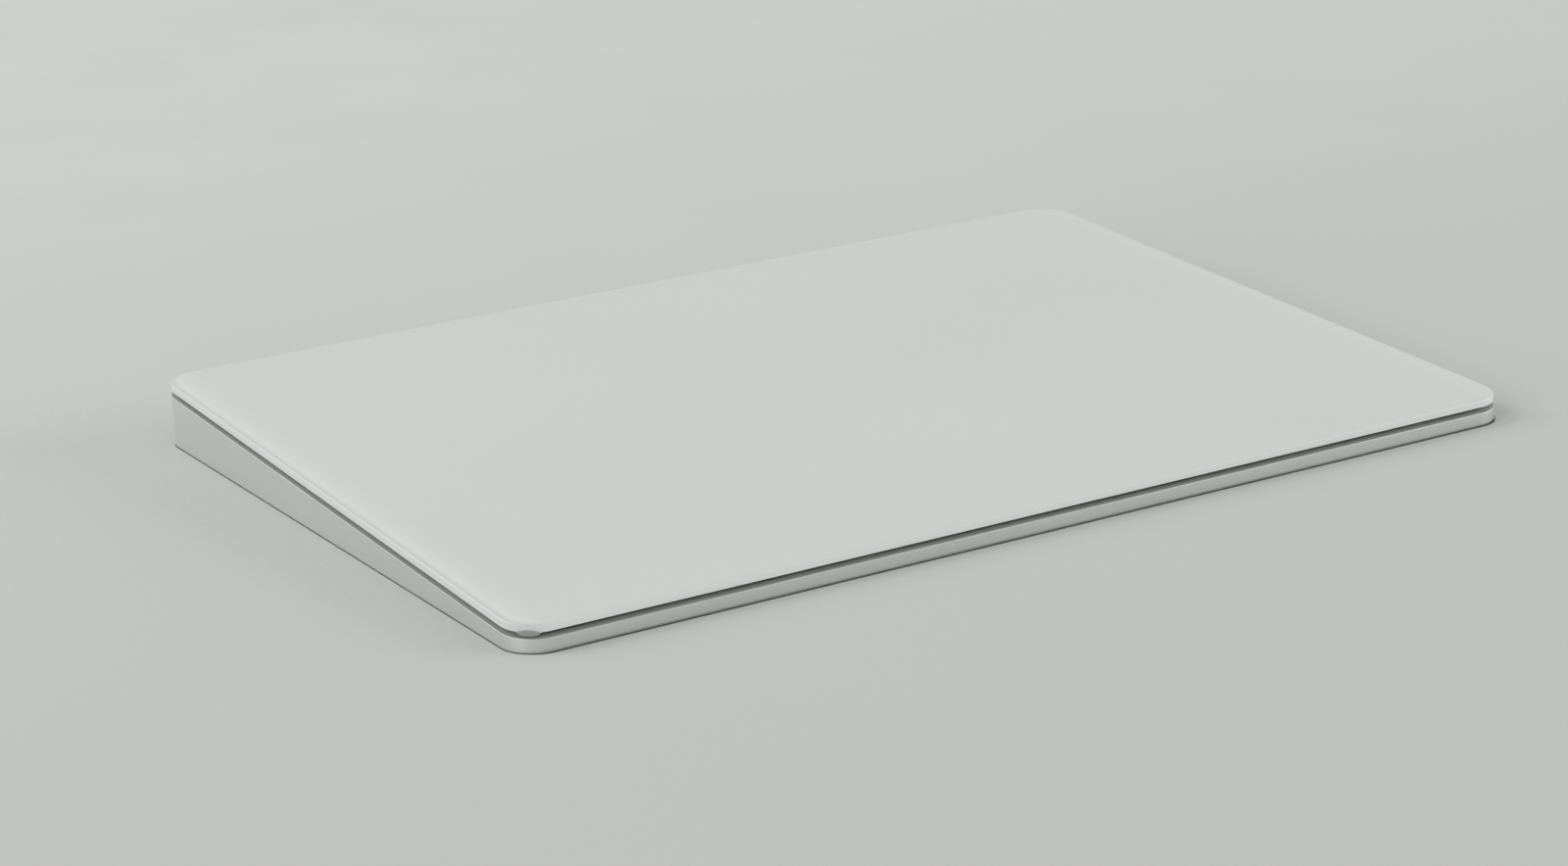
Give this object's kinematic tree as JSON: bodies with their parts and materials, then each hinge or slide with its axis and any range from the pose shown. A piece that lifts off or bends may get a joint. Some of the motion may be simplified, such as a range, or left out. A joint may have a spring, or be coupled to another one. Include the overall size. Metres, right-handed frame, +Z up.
{
  "type": "trackpad",
  "caption": "Wedge-shaped wireless trackpad: matte white glass touch plate floating over a bead-blasted aluminium case, with a rear charging socket and power switch.",
  "frame": {"origin": "on the table, under the middle of the case, at the level of the feet", "axes": "+X to the right along the front edge, +Y from the thin front edge to the thick rear edge, +Z up"},
  "size_m": [0.16, 0.115, 0.011],
  "materials": {
    "anodised_aluminium": "fine bead-blasted and clear anodised",
    "white_glass": "etched matte glass over white ink",
    "white_plastic": "satin moulded polycarbonate",
    "foot_rubber": "pale soft elastomer",
    "adhesive_tape": "thin adhesive film",
    "board_laminate": "solder-masked glass laminate",
    "plate_steel": "dark rolled steel",
    "spring_steel": "rolled spring steel",
    "screw_steel": "plated steel",
    "bright_steel": "drawn tin-plated steel",
    "core_iron": "soft magnetic iron",
    "copper": "enamelled copper",
    "gold_plate": "gold plate",
    "gel": "clear blue silicone gel",
    "chip_resin": "moulded epoxy",
    "connector_plastic": "moulded connector plastic",
    "black_plastic": "moulded black plastic",
    "cable_film": "amber film with copper tracks",
    "cell_foil": "dark laminated pouch foil",
    "indicator_green": "green film"
  },
  "bodies": {
    "base": {"wedge_case": "anodised_aluminium", "bottom_cover": "white_plastic", "cover_adhesive": "adhesive_tape", "foot_front_left": "foot_rubber", "foot_front_right": "foot_rubber", "foot_rear_left": "foot_rubber", "foot_rear_right": "foot_rubber", "flexure_screws": "screw_steel", "haptic_bracket": "plate_steel", "haptic_core_left": "core_iron", "haptic_core_right": "core_iron", "haptic_coil_left": "copper", "haptic_coil_right": "copper", "haptic_flex": "cable_film", "haptic_connector": "connector_plastic", "haptic_screws": "screw_steel", "main_board": "board_laminate", "shield_can": "bright_steel", "processor_chip": "chip_resin", "radio_chip": "chip_resin", "charge_chip": "chip_resin", "haptic_driver_chip": "chip_resin", "force_amplifier_chip": "chip_resin", "touch_connector": "connector_plastic", "battery_connector": "connector_plastic", "io_connector": "connector_plastic", "board_screws": "screw_steel", "antenna_carrier": "black_plastic", "antenna_strip": "copper", "antenna_lead": "black_plastic", "battery_cell": "cell_foil", "battery_tape": "adhesive_tape", "battery_board": "board_laminate", "battery_lead": "cable_film", "io_board": "board_laminate", "io_plug": "connector_plastic", "io_flex": "cable_film", "io_screws": "screw_steel", "port_shell": "bright_steel", "port_tongue": "black_plastic", "port_contacts": "gold_plate", "switch_body": "black_plastic"},
    "suspension": {"flexure_front_left": "spring_steel", "flexure_front_right": "spring_steel", "flexure_rear_left": "spring_steel", "flexure_rear_right": "spring_steel", "strain_gauges": "cable_film", "gel_pads": "gel"},
    "touch_surface": {"glass_plate": "white_glass", "glass_adhesive": "adhesive_tape", "touch_sensor_board": "board_laminate", "support_plate": "plate_steel", "touch_controller_chip": "chip_resin", "touch_plug": "connector_plastic", "touch_flex": "cable_film", "haptic_rail_left": "core_iron", "haptic_rail_right": "core_iron"},
    "power_switch": {"switch_knob": "white_plastic", "switch_actuator": "white_plastic", "switch_indicator": "indicator_green"}
  },
  "joints": [
    {"name": "surface_press", "type": "slide", "parent": "base", "child": "suspension", "axis": [0, 0.0522, -0.9986], "range_m": [0, 0.0002], "stiffness_N_per_m": 20000, "springref_m": -0.0001, "deforming": ["flexure_front_left", "flexure_front_right", "flexure_rear_left", "flexure_rear_right", "touch_flex"]},
    {"name": "haptic_shift", "type": "slide", "parent": "suspension", "child": "touch_surface", "axis": [1, 0, 0], "range_m": [-0.0002, 0.0002], "stiffness_N_per_m": 30000, "deforming": ["touch_flex"]},
    {"name": "switch_slide", "type": "slide", "parent": "base", "child": "power_switch", "axis": [-1, 0, 0], "range_m": [0, 0.0022]}
  ]
}
